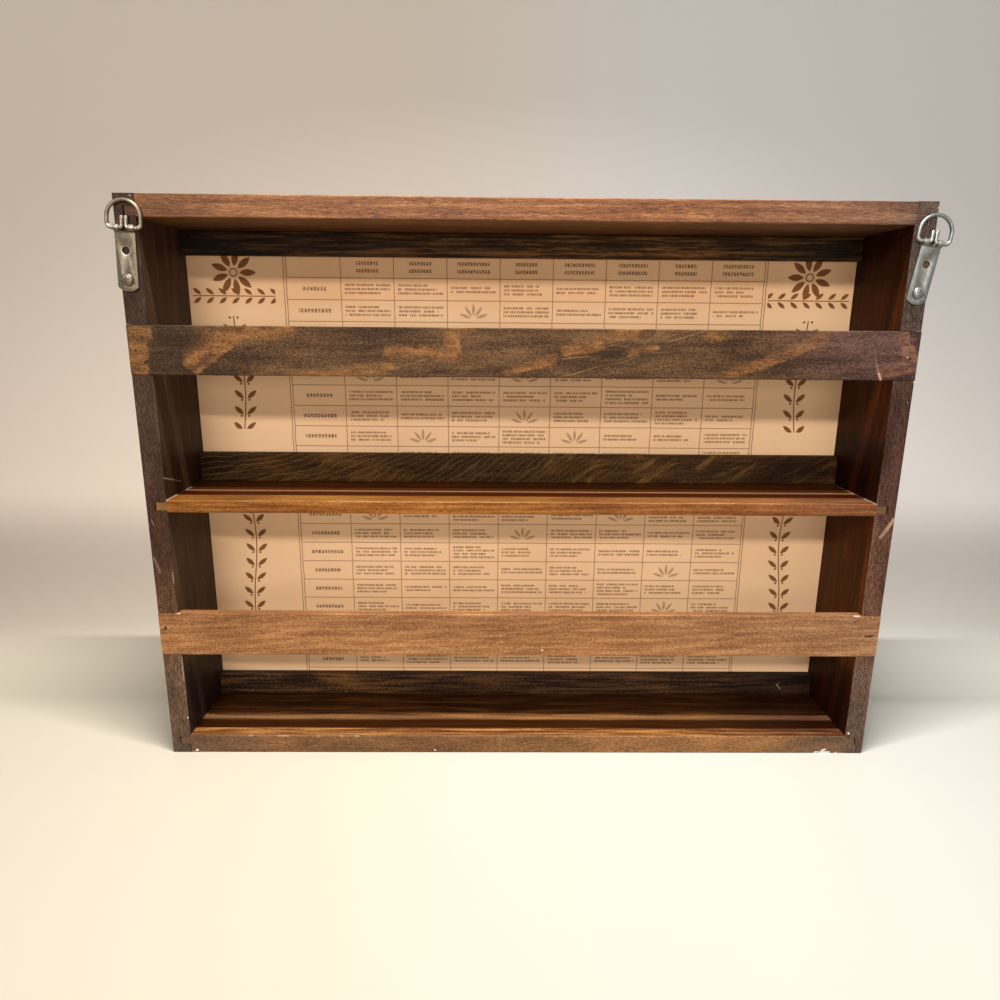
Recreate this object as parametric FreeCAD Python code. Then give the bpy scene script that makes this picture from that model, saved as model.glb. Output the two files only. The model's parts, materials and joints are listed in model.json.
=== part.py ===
import FreeCAD
import Part
import math
import os

# Open wall-hung spice rack with two shelves for jars and a printed chart on its back panel.
# Millimetres. +X is to the right and +Y goes back when facing the open side, +Z is up.
# The origin is the middle of the underside of the case.

# Case
case_width = 470.0
case_height = 354.0
board_depth = 63.5
board_thickness = 12.7
shelf_thickness = 8.0
lower_bay_height = 155.3
arris_radius = 0.8

# Housed joints: each board ends in a tongue that sits in a dado of the side
tongue_length = 6.35
tongue_thickness = 5.0
end_board_shoulder = 1.0
dado_end_gap = 0.9
dado_top_gap = 0.15

# Retaining rails, let in flush across the front edges of the sides: the upper one's top
# hangs a drop below the top of the case, the lower one stands a gap above the bottom board
rail_height = 29.0
rail_thickness = 6.0
upper_rail_drop = 72.2
lower_rail_gap = 59.1
notch_gap = 0.1

# Back panel, the chart glued to its face, and a strip over the chart at each board
panel_thickness = 3.2
panel_inset = 1.0
chart_thickness = 0.3
chart_edge_gap = 0.2
strip_thickness = 6.0
strip_end_gap = 0.2
top_strip_height = 15.0
middle_strip_height = 20.0
bottom_strip_height = 16.0

# Brads
brad_radius = 0.65
brad_head_radius = 1.2
brad_head_thickness = 0.5
brad_point = 1.6
brad_clearance = 0.05
rail_brad_length = 16.0
side_brad_length = 25.0
panel_brad_length = 14.0
side_brad_edge = 14.0
panel_brad_edge = 28.0
panel_brads_per_board = 5

# Facets round every small pin
pin_sides = 6

# Where each rail brad was driven: in from the outer face, and above the middle of the rail
upper_rail_brads = {"left": (4.3, -0.3), "right": (5.2, -1.5)}
lower_rail_brads = {"left": (4.1, 4.4), "right": (5.5, 0.2)}

# Strap hangers, each folded from sheet round the straight bar of a wire ring
sheet_thickness = 0.75
ply_gap = 0.1
throat_radius = 1.5
strap_width = 11.5
strap_below_bar = 34.8
strap_end_radius = 7.7
strap_hole_radius = 2.3
upper_hole_drop = 12.2
screw_hole_drop = 28.2
slot_width = 5.3
slot_below_bar = 1.6

# Wire ring: a straight bar in the strap's knuckles, a bow, and two ends turned up in the slot
wire_radius = 1.1
wire_sides = 8
bar_clearance = 0.08
ring_width = 21.2
ring_height = 16.3
ring_corner_radius = 2.6
prong_spacing = 2.5
prong_length = 6.4
prong_bend_radius = 1.4
ring_rest_gap = 0.1

# Where each hanger was screwed on: in from the outer face, down from the top, and its tilt
# in degrees, clockwise as seen from the front
hangers = {
    "left": {"inset": 4.9, "drop": 47.0, "tilt": 2.3},
    "right": {"inset": 6.3, "drop": 50.4, "tilt": 8.5},
}

# Pan-head screws that hold the hangers
screw_radius = 1.7
screw_length = 12.0
screw_point = 3.0
screw_clearance = 0.05
screw_head_radius = 3.45
screw_head_height = 2.1
screw_head_rim = 0.9
screw_crown_radius = 2.2
recess_width = 0.9
recess_span = 3.4
recess_depth = 0.9

# Levels and planes that the pieces share
half_width = case_width / 2
inner_half = half_width - board_thickness
front_y = -(board_depth + panel_thickness) / 2
panel_y = front_y + board_depth
back_y = panel_y + panel_thickness
chart_y = panel_y - chart_thickness
floor_z = board_thickness
ceiling_z = case_height - board_thickness
shelf_z = floor_z + lower_bay_height
shelf_top_z = shelf_z + shelf_thickness
dado_depth = tongue_length + dado_end_gap

signs = {"left": -1, "right": 1}
rails = {
    "upper_rail": {"z": case_height - upper_rail_drop - rail_height,
                   "brads": upper_rail_brads},
    "lower_rail": {"z": floor_z + lower_rail_gap, "brads": lower_rail_brads},
}
boards = {
    "bottom_board": {
        "z": 0.0,
        "tongue_z": floor_z - end_board_shoulder - tongue_thickness,
        "thickness": board_thickness,
        "depth": board_depth,
    },
    "middle_shelf": {
        "z": shelf_z,
        "tongue_z": shelf_z + (shelf_thickness - tongue_thickness) / 2,
        "thickness": shelf_thickness,
        "depth": board_depth - chart_thickness,
    },
    "top_board": {
        "z": ceiling_z,
        "tongue_z": ceiling_z + end_board_shoulder,
        "thickness": board_thickness,
        "depth": board_depth,
    },
}

# The bar of each ring lies in a rolled knuckle that touches the wood behind it
knuckle_inner = wire_radius + bar_clearance
knuckle_outer = knuckle_inner + sheet_thickness
strap_thickness = 2 * sheet_thickness + ply_gap

# The ring leans back until its bow meets the wood
bow_radius = ring_width / 2 - wire_radius
bow_top = ring_height - wire_radius
ring_lean = math.degrees(math.asin((knuckle_outer - wire_radius - ring_rest_gap) / bow_top))

right = FreeCAD.Vector(1, 0, 0)
back = FreeCAD.Vector(0, 1, 0)
up = FreeCAD.Vector(0, 0, 1)
origin = FreeCAD.Vector(0, 0, 0)


def block(xs, ys, zs):
    """Square-edged block between three pairs of coordinates, in either order."""
    low = [min(pair) for pair in (xs, ys, zs)]
    size = [max(pair) - min(pair) for pair in (xs, ys, zs)]
    return Part.makeBox(size[0], size[1], size[2], FreeCAD.Vector(*low))


def on_circle(centre, radius, degrees, across, rise):
    """Point on a circle, its angle measured from the direction across towards rise."""
    angle = math.radians(degrees)
    return centre + across * (radius * math.cos(angle)) + rise * (radius * math.sin(angle))


def trace(steps, closed=True):
    """Wire through points. A pair of points is an arc: through the first, to the second."""
    edges = []
    last = steps[0]
    for step in steps[1:] + ([steps[0]] if closed else []):
        if isinstance(step, tuple):
            edges.append(Part.Arc(last, step[0], step[1]).toShape())
            last = step[1]
        elif last.distanceToPoint(step) > 1e-6:
            edges.append(Part.LineSegment(last, step).toShape())
            last = step
    return Part.Wire(edges)


def eased_bar(corner, across, width, depth, along, length):
    """Bar with both long arrises of its front face eased. Its section starts at a corner
    on the front face and runs across and back; the section is drawn out along its length."""
    left_centre = corner + (across + back) * arris_radius
    right_centre = corner + across * (width - arris_radius) + back * arris_radius
    section = trace([
        on_circle(left_centre, arris_radius, 180, across, back),
        (on_circle(left_centre, arris_radius, 225, across, back),
         on_circle(left_centre, arris_radius, 270, across, back)),
        on_circle(right_centre, arris_radius, 270, across, back),
        (on_circle(right_centre, arris_radius, 315, across, back),
         on_circle(right_centre, arris_radius, 360, across, back)),
        corner + across * width + back * depth,
        corner + back * depth,
    ])
    return Part.Face(section).extrude(along * length)


def corners(radius, sides, centre=origin):
    """Points evenly round a circle about the Z axis, for small round forms."""
    return [on_circle(centre, radius, 360 * index / sides, right, back)
            for index in range(sides)]


def faceted_pin(levels):
    """Pin along Z through pairs of height and radius, from its top down. Its width changes
    in steps, and a radius of nought makes a point."""
    parts = []
    for (z, radius), (next_z, next_radius) in zip(levels, levels[1:]):
        rim = corners(radius, pin_sides, up * z)
        if radius == next_radius:
            parts.append(Part.Face(trace(rim)).extrude(up * (next_z - z)))
        elif z != next_z:
            tip = up * next_z
            faces = [Part.Face(trace([first, second, tip]))
                     for first, second in zip(rim, rim[1:] + rim[:1])]
            parts.append(Part.Solid(Part.Shell(faces + [Part.Face(trace(rim))])))
    return parts[0].fuse(parts[1:]) if parts[1:] else parts[0]


def placed(shape, point, direction):
    """The shape moved from the origin to a point, its -Z turned to a direction."""
    moved = shape.copy()
    moved.Placement = FreeCAD.Placement(point, FreeCAD.Rotation(up * -1, direction))
    return moved


def brad(length, grow=0.0):
    """Brad along -Z with its head's top at the origin; grow gives the hole that it fits."""
    head = brad_head_radius + grow
    shank = brad_radius + grow
    levels = [(grow, head), (-brad_head_thickness, head), (-brad_head_thickness, shank)]
    if grow:
        return faceted_pin(levels + [(-length - grow, shank)])
    return faceted_pin(levels + [(brad_point - length, shank), (-length, 0)])


def rail_brads(name, grow=0.0):
    """The two brads of a rail, one into the front edge of each side."""
    brads = []
    for side, (inset, rise) in rails[name]["brads"].items():
        z = rails[name]["z"] + rail_height / 2 + rise
        spot = FreeCAD.Vector(signs[side] * (half_width - inset), front_y, z)
        brads.append(placed(brad(rail_brad_length, grow), spot, back))
    return brads


def side_brads(side, grow=0.0):
    """Two brads through the side into the tongue of each board."""
    brads = []
    for board in boards.values():
        z = board["tongue_z"] + tongue_thickness / 2
        for y in (front_y + side_brad_edge, panel_y - side_brad_edge):
            spot = FreeCAD.Vector(signs[side] * half_width, y, z)
            brads.append(placed(brad(side_brad_length, grow), spot, right * -signs[side]))
    return brads


def panel_brads(grow=0.0):
    """Brads through the back panel: a row into each board, and one up each side of a bay."""
    spots = []
    span = case_width - 2 * panel_brad_edge
    for board in boards.values():
        for index in range(panel_brads_per_board):
            x = span * (index / (panel_brads_per_board - 1) - 0.5)
            spots.append((x, board["z"] + board["thickness"] / 2))
    for z in ((floor_z + shelf_z) / 2, (shelf_top_z + ceiling_z) / 2):
        for sign in signs.values():
            spots.append((sign * (half_width - board_thickness / 2), z))
    return [placed(brad(panel_brad_length, grow), FreeCAD.Vector(x, back_y, z), back * -1)
            for x, z in spots]


def hanger_screw(grow=0.0):
    """Screw along -Z with its head's seat at the origin; grow gives its pilot hole."""
    shank = screw_radius + grow
    if grow:
        return faceted_pin([(grow, shank), (-screw_length - grow, shank)])
    shape = faceted_pin([(0, shank), (screw_point - screw_length, shank),
                         (-screw_length, 0)])
    profile = trace([
        origin,
        FreeCAD.Vector(screw_head_radius, 0, 0),
        FreeCAD.Vector(screw_head_radius, 0, screw_head_rim),
        FreeCAD.Vector(screw_crown_radius, 0, screw_head_height),
        FreeCAD.Vector(0, 0, screw_head_height),
    ])
    head = Part.Face(profile).revolve(origin, up, 360)
    half = recess_width / 2
    reach = recess_span / 2
    depth = (screw_head_height - recess_depth, screw_head_height)
    recess = block((-reach, reach), (-half, half), depth)
    recess = recess.fuse(block((-half, half), (-reach, reach), depth))
    return shape.fuse(head).cut(recess).removeSplitter()


def hanger_strap():
    """Strap folded round the bar: the bar's axis is the X axis and the wood is behind it,
    touching the back ply. Two knuckles are left beside the slot for the ring's ends."""
    middle = knuckle_inner + sheet_thickness / 2
    front_ply = sheet_thickness + ply_gap + sheet_thickness / 2
    reach = middle + throat_radius
    wrap = math.degrees(math.acos((front_ply - knuckle_outer + throat_radius) / reach))
    wood = back * knuckle_outer
    front = back * -1
    throat = on_circle(origin, reach, -wrap, front, up)
    outer_throat = throat_radius - sheet_thickness / 2
    inner_throat = throat_radius + sheet_thickness / 2
    foot = up * -(strap_below_bar + strap_width)

    def arc(centre, radius, first, last):
        return (on_circle(centre, radius, (first + last) / 2, front, up),
                on_circle(centre, radius, last, front, up))

    section = trace([
        wood + foot,
        wood,
        arc(origin, knuckle_outer, 180, 90),
        arc(origin, knuckle_outer, 90, -wrap),
        arc(throat, outer_throat, 180 - wrap, 180),
        wood + front * strap_thickness + foot,
        wood + front * (sheet_thickness + ply_gap) + foot,
        on_circle(throat, inner_throat, 180, front, up),
        arc(throat, inner_throat, 180, 180 - wrap),
        arc(origin, knuckle_inner, -wrap, 90),
        arc(origin, knuckle_inner, 90, 180),
        wood + front * sheet_thickness + foot,
    ])
    section.translate(right * -(strap_width / 2))
    sheet = Part.Face(section).extrude(right * strap_width)

    # The lower end is cut to a shallow arc
    half = strap_width / 2
    end_centre = up * (strap_end_radius - strap_below_bar)
    end_rise = math.degrees(math.asin(half / strap_end_radius))
    deep = back * (2 * knuckle_outer)
    outline = trace([
        on_circle(end_centre, strap_end_radius, end_rise - 90, right, up),
        right * half + up * (2 * knuckle_outer),
        right * -half + up * (2 * knuckle_outer),
        on_circle(end_centre, strap_end_radius, -90 - end_rise, right, up),
        (on_circle(end_centre, strap_end_radius, -90, right, up),
         on_circle(end_centre, strap_end_radius, end_rise - 90, right, up)),
    ])
    outline.translate(deep * -1)
    strap = sheet.common(Part.Face(outline).extrude(deep * 2))

    slot = block((-slot_width / 2, slot_width / 2), (-deep.y, deep.y),
                 (-slot_below_bar, 2 * knuckle_outer))
    strap = strap.cut(slot)
    for drop in (upper_hole_drop, screw_hole_drop):
        strap = strap.cut(Part.makeCylinder(strap_hole_radius, 2 * deep.y,
                                            up * -drop - deep, back))
    return strap


def hanger_ring():
    """Ring bent from one wire: down one short end in the slot, along the bar, round the bow
    and back up the other end. The bar's axis is the X axis, and the bow leans back."""
    half_gap = prong_spacing / 2
    bend = prong_bend_radius
    corner = ring_corner_radius
    bow_z = bow_top - bow_radius

    def half_path(sign):
        side = right * sign
        bend_centre = side * (half_gap + bend) + up * bend
        corner_centre = side * (bow_radius - corner) + up * corner
        return [
            side * half_gap + up * prong_length,
            on_circle(bend_centre, bend, 180, side, up),
            (on_circle(bend_centre, bend, 225, side, up),
             on_circle(bend_centre, bend, 270, side, up)),
            on_circle(corner_centre, corner, 270, side, up),
            (on_circle(corner_centre, corner, 315, side, up),
             on_circle(corner_centre, corner, 360, side, up)),
            side * bow_radius + up * bow_z,
            (on_circle(up * bow_z, bow_radius, 45, side, up), up * bow_top),
        ]

    halves = []
    for sign in signs.values():
        path = trace(half_path(sign), closed=False)
        start = right * (sign * half_gap) + up * prong_length
        section = trace(corners(wire_radius, wire_sides, start))
        halves.append(path.makePipeShell([section], True, False))
    ring = halves[0].fuse(halves[1]).removeSplitter()
    ring.rotate(origin, right, -ring_lean)
    return ring


def hang(shape, side):
    """Move a hanger's piece from its own frame, with the bar along X, to its place."""
    hanger = hangers[side]
    x = signs[side] * (half_width - hanger["inset"])
    screw = FreeCAD.Vector(x, front_y - knuckle_outer, case_height - hanger["drop"])
    moved = shape.copy()
    moved.translate(up * screw_hole_drop)
    moved.rotate(origin, back, hanger["tilt"])
    moved.translate(screw)
    return moved


def hung_screw(side, grow=0.0):
    """Screw of a hanger, or its pilot hole, with its head on the strap."""
    seat = up * -screw_hole_drop + back * (knuckle_outer - strap_thickness)
    return hang(placed(hanger_screw(grow), seat, back), side)


def horizontal_board(name):
    """Board between the sides, shouldered at each end to leave its tongue."""
    board = boards[name]
    reach = inner_half + tongue_length
    corner = FreeCAD.Vector(-reach, front_y, board["z"])
    shape = eased_bar(corner, up, board["thickness"], board["depth"], right, 2 * reach)
    deep = (front_y, panel_y)
    top_z = board["z"] + board["thickness"]
    for sign in signs.values():
        end = (sign * inner_half, sign * reach)
        shape = shape.cut(block(end, deep, (board["z"], board["tongue_z"])))
        shape = shape.cut(block(end, deep, (board["tongue_z"] + tongue_thickness, top_z)))
    return shape


def side_board(side):
    """Upright side with a dado for each board and a notch for each rail."""
    sign = signs[side]
    outer = sign * half_width
    corner = FreeCAD.Vector(min(outer, sign * inner_half), front_y, 0)
    shape = eased_bar(corner, right, board_thickness, board_depth, up, case_height)
    for board in boards.values():
        top_z = board["tongue_z"] + tongue_thickness + dado_top_gap
        shape = shape.cut(block((sign * inner_half, sign * (inner_half + dado_depth)),
                                (front_y, panel_y), (board["tongue_z"], top_z)))
    for rail in rails.values():
        top_z = rail["z"] + rail_height + notch_gap
        shape = shape.cut(block((outer, sign * inner_half), (front_y, front_y + rail_thickness),
                                (rail["z"], top_z)))
    return shape


def rail_bar(name):
    """Retaining rail, flush with the outer faces of the sides."""
    corner = FreeCAD.Vector(-half_width, front_y, rails[name]["z"])
    return eased_bar(corner, up, rail_height, rail_thickness, right, case_width)


def back_strip(z, height):
    """Strip in front of the chart, along one board."""
    reach = inner_half - strip_end_gap
    corner = FreeCAD.Vector(-reach, chart_y - strip_thickness, z)
    return eased_bar(corner, up, height, strip_thickness, right, 2 * reach)


def drilled(shape, holes):
    """The shape with every hole cut from it."""
    return shape.cut(Part.makeCompound(holes))


panel_reach = half_width - panel_inset
chart_reach = inner_half - chart_edge_gap
panel_holes = panel_brads(brad_clearance)
side_holes = {side: side_brads(side, brad_clearance) for side in signs}
rail_holes = {name: rail_brads(name, brad_clearance) for name in rails}
screw_holes = {side: hung_screw(side, screw_clearance) for side in signs}

nodes = {}
for side in signs:
    holes = (side_holes[side] + panel_holes + rail_holes["upper_rail"]
             + rail_holes["lower_rail"] + [screw_holes[side]])
    nodes[side + "_side"] = drilled(side_board(side), holes)
    nodes[side + "_side_brads"] = Part.makeCompound(side_brads(side))
    nodes[side + "_hanger_strap"] = hang(hanger_strap(), side)
    nodes[side + "_hanger_ring"] = hang(hanger_ring(), side)
    nodes[side + "_hanger_screw"] = hung_screw(side)
for name in boards:
    holes = side_holes["left"] + side_holes["right"] + panel_holes
    nodes[name] = drilled(horizontal_board(name), holes)
for name in rails:
    nodes[name] = drilled(rail_bar(name), rail_holes[name])
    nodes[name + "_brads"] = Part.makeCompound(rail_brads(name))
nodes["top_back_strip"] = back_strip(ceiling_z - top_strip_height, top_strip_height)
nodes["middle_back_strip"] = back_strip(shelf_top_z, middle_strip_height)
nodes["bottom_back_strip"] = back_strip(floor_z, bottom_strip_height)
nodes["chart_sheet"] = drilled(
    block((-chart_reach, chart_reach), (chart_y, panel_y),
          (floor_z + chart_edge_gap, ceiling_z - chart_edge_gap)), panel_holes)
nodes["back_panel"] = drilled(
    block((-panel_reach, panel_reach), (panel_y, back_y),
          (panel_inset, case_height - panel_inset)), panel_holes)
nodes["back_panel_brads"] = Part.makeCompound(panel_brads())

os.makedirs("parts", exist_ok=True)
for name, shape in nodes.items():
    shape.exportStep("parts/" + name + ".step")
    print(name, "valid" if shape.isValid() else "NOT VALID", len(shape.Solids), "solids",
          round(shape.Volume, 1), "mm3")
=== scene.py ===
import json
import bmesh
import bpy
from functools import partialmethod
from math import asin, copysign, cos, hypot, pi, radians, sin, tau
from mathutils import Matrix, Vector


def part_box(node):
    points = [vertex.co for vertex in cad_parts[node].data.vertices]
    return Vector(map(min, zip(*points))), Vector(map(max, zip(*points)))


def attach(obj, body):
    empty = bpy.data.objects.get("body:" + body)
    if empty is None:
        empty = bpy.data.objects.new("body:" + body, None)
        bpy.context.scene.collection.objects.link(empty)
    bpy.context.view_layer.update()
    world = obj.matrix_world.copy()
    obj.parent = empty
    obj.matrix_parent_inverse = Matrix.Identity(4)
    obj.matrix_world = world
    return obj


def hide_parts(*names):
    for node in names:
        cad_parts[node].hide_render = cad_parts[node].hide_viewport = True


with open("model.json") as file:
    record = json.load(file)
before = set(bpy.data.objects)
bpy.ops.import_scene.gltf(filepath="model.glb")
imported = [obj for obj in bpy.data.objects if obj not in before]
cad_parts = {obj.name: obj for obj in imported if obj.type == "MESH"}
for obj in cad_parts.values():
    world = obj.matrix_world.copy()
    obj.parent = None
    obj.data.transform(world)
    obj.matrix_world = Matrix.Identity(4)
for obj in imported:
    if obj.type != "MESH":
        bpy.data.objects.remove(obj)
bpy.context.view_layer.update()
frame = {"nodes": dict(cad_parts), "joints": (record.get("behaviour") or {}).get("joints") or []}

nodes = frame["nodes"]
toMetres = 0.001


def cornersInMillimetres(node):
    low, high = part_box(node)
    return low / toMetres, high / toMetres


leftLow, leftHigh = cornersInMillimetres("left_side")
rightLow, rightHigh = cornersInMillimetres("right_side")
chartLow, chartHigh = cornersInMillimetres("chart_sheet")
shelfTop = cornersInMillimetres("middle_shelf")[1].z
frontPlane = leftLow.y
wallFace = rightLow.x  # inner face of each side, from the middle
outerFace = rightHigh.x


def fromScreen(red, green, blue):  # screen colour, 0 to 255, to Blender's
    straight = []
    for part in (red, green, blue):
        share = part / 255
        straight.append(share / 12.92 if share < 0.04045 else ((share + 0.055) / 1.055) ** 2.4)
    return (*straight, 1.0)


class Flow:  # a socket; sums with it add nodes to its tree
    def __init__(self, tree, socket):
        self.tree = tree
        self.socket = socket

    def node(self, kind, settings, sockets, output=0):
        made = self.tree.nodes.new(kind)
        for name, value in settings.items():
            setattr(made, name, value)
        for name, value in sockets.items():
            if isinstance(value, Flow):
                self.tree.links.new(value.socket, made.inputs[name])
            else:
                made.inputs[name].default_value = value
        return Flow(self.tree, made.outputs[output])

    def maths(self, operation, other=0.0, third=0.0):
        return self.node("ShaderNodeMath", {"operation": operation},
                         {0: self, 1: other, 2: third})

    def __rsub__(self, other):
        return self.maths("MULTIPLY_ADD", -1.0, other)

    __add__ = __radd__ = partialmethod(maths, "ADD")
    __sub__ = partialmethod(maths, "SUBTRACT")
    __mul__ = partialmethod(maths, "MULTIPLY")
    __truediv__ = partialmethod(maths, "DIVIDE")
    __pow__ = partialmethod(maths, "POWER")
    size = partialmethod(maths, "ABSOLUTE")
    least = partialmethod(maths, "MINIMUM")
    most = partialmethod(maths, "MAXIMUM")
    above = partialmethod(maths, "GREATER_THAN")
    below = partialmethod(maths, "LESS_THAN")
    whole = partialmethod(maths, "FLOOR")
    part = partialmethod(maths, "FRACT")

    def between(self, low, high):
        return self.above(low) * self.below(high)

    def clamped(self):
        return self.node("ShaderNodeClamp", {}, {0: self})

    def offMiddle(self):  # from the middle of each whole step
        return self.part() - 0.5

    def offWhole(self):  # distance to the nearest whole number
        return (self + 0.5).offMiddle().size()

    def stepped(self, low, high):  # 0 up to low, 1 past high, or the reverse
        return self.node("ShaderNodeMapRange", {"interpolation_type": "SMOOTHSTEP"},
                         {0: self, 1: low, 2: high})

    def band(self, low, high, soft):  # 1 from low to high, with soft ends
        return self.stepped(low - soft, low + soft) * self.stepped(high + soft, high - soft)

    def near(self, place, inner, outer):  # 1 within inner of a place, 0 past outer
        return (self - place).size().stepped(outer, inner)

    def parts(self):
        return [self.node("ShaderNodeSeparateXYZ", {}, {0: self}, turn) for turn in range(3)]

    def joined(self, second, third=0.0):
        return self.node("ShaderNodeCombineXYZ", {}, {0: self, 1: second, 2: third})

    def scaled(self, scale, move=(0.0, 0.0, 0.0)):
        return self.node("ShaderNodeMapping", {}, {"Vector": self, "Scale": scale,
                                                   "Location": move})

    def noise(self, scale=1.0, detail=2.0, rough=0.5, twist=0.0):
        return self.node("ShaderNodeTexNoise", {}, {"Vector": self, "Scale": scale,
                         "Detail": detail, "Roughness": rough, "Distortion": twist})

    def dice(self):  # one random value for each whole place
        return self.node("ShaderNodeTexWhiteNoise", {}, {"Vector": self})

    def ramped(self, colours, places=(0.0, 0.5, 1.0)):  # screen colours along a ramp
        made = self.node("ShaderNodeValToRGB", {}, {0: self})
        elements = made.socket.node.color_ramp.elements
        while len(elements) < len(colours):
            elements.new(1.0)
        for element, place, colour in zip(elements, places, colours):
            element.position, element.color = place, fromScreen(*colour)
        return made

    def blend(self, first, second):  # colours, this value the share of the second
        return self.node("ShaderNodeMix", {"data_type": "RGBA"},
                         {0: self, 6: first, 7: second}, 2)

    def tinted(self, tint):  # this colour times another
        return self.node("ShaderNodeMix", {"data_type": "RGBA", "blend_type": "MULTIPLY"},
                         {0: 1.0, 6: self, 7: tint}, 2)

    def washed(self, tint, share):  # this colour times a tint, by a share
        return self.tinted(share.blend((1, 1, 1, 1), (*tint, 1)))

    def painted(self, paint, share):  # this colour under a paint, by a share
        return share.blend(self, fromScreen(*paint))


def startMaterial(name):  # the place comes in millimetres
    material = bpy.data.materials.new(name)
    material.use_nodes = True
    tree = material.node_tree
    tree.nodes.clear()
    source = tree.nodes.new("ShaderNodeTexCoord")
    place = Flow(tree, source.outputs["Object"]).scaled((1 / toMetres,) * 3)
    return material, place


def finishMaterial(material, place, sockets, height=None, relief=0.1):
    if height is not None:
        sockets["Normal"] = place.node("ShaderNodeBump", {}, {
            "Strength": 1.0, "Distance": relief * toMetres, "Height": height})
    shader = place.node("ShaderNodeBsdfPrincipled", {}, sockets)
    output = place.tree.nodes.new("ShaderNodeOutputMaterial")
    place.tree.links.new(shader.socket, output.inputs["Surface"])
    return material


def wear(node, material):
    slots = nodes[node].data.materials
    slots.clear()
    slots.append(material)


def placed(name, data):
    thing = bpy.data.objects.new(name, data)
    bpy.context.scene.collection.objects.link(thing)
    return thing


def meshFrom(name, bm):
    mesh = bpy.data.meshes.new(name)
    bm.to_mesh(mesh)
    bm.free()
    return mesh


def edgesOver(bm, degrees):  # those that turn more
    return [edge for edge in bm.edges
            if len(edge.link_faces) == 2 and edge.calc_face_angle() > radians(degrees)]


def smoothShaded(bm, degrees):
    for face in bm.faces:
        face.smooth = True
    for edge in edgesOver(bm, degrees):
        edge.smooth = False
    return bm


cameraLook = {
    "spot": (-0.0197, -0.4666, 0.2822), "clip": 0.01,
    "turn": 0.667, "dip": 13.6, "roll": 0.488,  # degrees
    "lens": 25.71,  # millimetres, on a 36 mm sensor
}


def makeCamera(look):
    camera = placed("camera", bpy.data.cameras.new("camera"))
    camera.data.lens = look["lens"]
    camera.data.clip_start = look["clip"]
    turn = Matrix.Rotation(radians(-look["turn"]), 4, "Z")
    dip = Matrix.Rotation(radians(90 - look["dip"]), 4, "X")
    roll = Matrix.Rotation(radians(look["roll"]), 4, "Z")
    camera.matrix_world = Matrix.Translation(look["spot"]) @ turn @ dip @ roll
    bpy.context.scene.camera = camera


makeCamera(cameraLook)
print("camera placed")


def distance(first, second):
    return (first * first + second * second) ** 0.5


def nearSegment(first, second, startX, startY, endX, endY):  # distance to a short line
    runX, runY = endX - startX, endY - startY
    offX, offY = first - startX, second - startY
    along = ((offX * runX + offY * runY) / (runX * runX + runY * runY)).clamped()
    return distance(offX - along * runX, offY - along * runY)


def turned(x, z, degrees):
    cosine, sine = cos(radians(degrees)), sin(radians(degrees))
    return x * cosine + z * sine, z * cosine - x * sine


def nearFront(y):  # 1 on the open side's faces, 0 behind them
    return y.stepped(frontPlane + 1.1, frontPlane + 0.7)


def onWall(x):  # 1 on the sides' inner faces
    return x.size().near(wallFace, 0.2, 0.6)


def tintedAlong(way, colour, spans):  # tints, each coming in between two places
    for low, high, tint in spans:
        colour = colour.washed(tint, way.stepped(low, high))
    return colour


def banded(y, colour, bands):  # painted strips of light and shadow that run along a board
    for low, high, soft, share, paint in bands:
        colour = colour.painted(paint, y.band(low, high, soft) * share)
    return colour


def paintScarsAndGlints(scars, place, speck, colour):  # chips, scratches and painted glints, each a short stroke
    x, y, z = place
    for face, strokes in scars.items():
        first = y if face == "wall" else x
        shown = onWall(x) if face == "wall" else nearFront(y) if face == "front" else 1.0
        for *ends, width, paint in strokes:
            ragged = nearSegment(first, z, *ends) + (speck - 0.5) * (width * 2.4)
            colour = colour.painted(paint, ragged.stepped(width * 1.5, width * 0.6) * shown)
    return colour


def weighed(grains, weights):  # the grains about their middle, by weight
    return sum(((grain - 0.5) * weights[name] for name, grain in grains.items()
                if name in weights), 0.5)


# A look's weights are those of the fine, streak, patch and speck grains
woodDefaults = {"grain": "X", "sway": 8, "ripple": 0.5, "late": 0.12, "along": [], "rise": [],
                "buried": [], "shades": [], "fade": (-16, 4), "scars": {}}
dustLook = {"scale": 1.25, "rough": 0.8, "from": 0.34, "to": 0.66,
            "thin": (0.92, 0.89, 0.7), "thick": (1.08, 1.12, 1.36)}


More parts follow.
